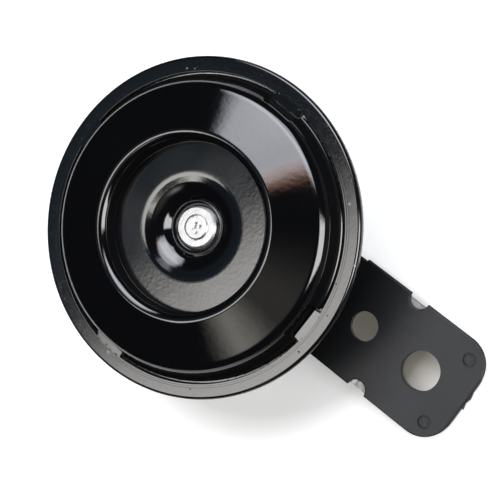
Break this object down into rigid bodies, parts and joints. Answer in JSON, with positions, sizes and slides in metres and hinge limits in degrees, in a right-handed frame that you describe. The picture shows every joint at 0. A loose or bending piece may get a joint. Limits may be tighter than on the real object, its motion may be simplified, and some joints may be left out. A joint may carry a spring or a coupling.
{
  "type": "car horn",
  "caption": "Small electric disc horn: crimped black body with a dished front tone disc, held by its own flat two-eye bracket and fed through flat blade terminals.",
  "frame": {"origin": "centre of the bracket's large fixing eye, on the bracket face that lies against the vehicle", "axes": "+Z along the horn's axis towards its front, and out of the fixing eye; +X from the horn along the bracket to the eye; +Y across the bracket"},
  "size_m": [0.0964, 0.07, 0.044],
  "materials": {
    "gloss_black_paint": "glossy black stove enamel over pressed steel, faint orange peel",
    "satin_black_paint": "satin black paint on flat steel",
    "zinc_plate": "bright zinc plate",
    "spring_steel": "plain rolled spring steel",
    "core_iron": "turned soft iron, zinc plated",
    "gasket_paper": "dark pressed gasket board",
    "winding_copper": "enamelled copper wire",
    "bobbin_nylon": "natural nylon",
    "insulator_board": "phenolic board",
    "contact_silver": "silver contact metal",
    "brass": "plain brass",
    "terminal_plastic": "black moulded plastic",
    "lead_sleeve": "varnished sleeving"
  },
  "bodies": {
    "horn_body": {"crimp_ring": "gloss_black_paint", "front_gasket": "gasket_paper", "rear_gasket": "gasket_paper", "diaphragm": "spring_steel", "rear_housing": "gloss_black_paint", "pole_core": "core_iron", "coil_bobbin": "bobbin_nylon", "coil_winding": "winding_copper", "yoke_plate": "core_iron", "lower_breaker_insulator": "insulator_board", "middle_breaker_insulator": "insulator_board", "upper_breaker_insulator": "insulator_board", "contact_spring": "spring_steel", "fixed_contact_arm": "brass", "moving_contact_point": "contact_silver", "fixed_contact_point": "contact_silver", "breaker_rivets": "brass", "adjuster_bush": "brass", "terminal_block": "terminal_plastic", "blade_terminal_left": "zinc_plate", "blade_terminal_right": "zinc_plate", "terminal_insulators": "insulator_board", "terminal_rivets": "brass", "coil_lead": "lead_sleeve", "breaker_lead": "lead_sleeve", "return_lead": "lead_sleeve", "flat_washer": "zinc_plate", "spring_washer": "zinc_plate", "mounting_nut": "zinc_plate", "bracket_front_leaf": "satin_black_paint", "bracket_rear_leaf": "zinc_plate"},
    "resonator": {"tone_disc": "gloss_black_paint", "armature": "core_iron", "disc_spacer": "zinc_plate", "stem_washer": "zinc_plate"},
    "adjuster": {"adjusting_screw": "zinc_plate"}
  },
  "joints": [
    {"name": "sounding_stroke", "type": "slide", "parent": "horn_body", "child": "resonator", "axis": [0, 0, 1], "range_m": [-0.0003, 0.0003], "stiffness_N_per_m": 20000, "deforming": ["diaphragm", "contact_spring", "moving_contact_point"]},
    {"name": "adjuster_turn", "type": "hinge", "parent": "horn_body", "child": "adjuster", "pos_m": [-0.0625, 0.02217, 0.0142], "axis": [0, 0, 1], "range_deg": [-180, 180]}
  ]
}
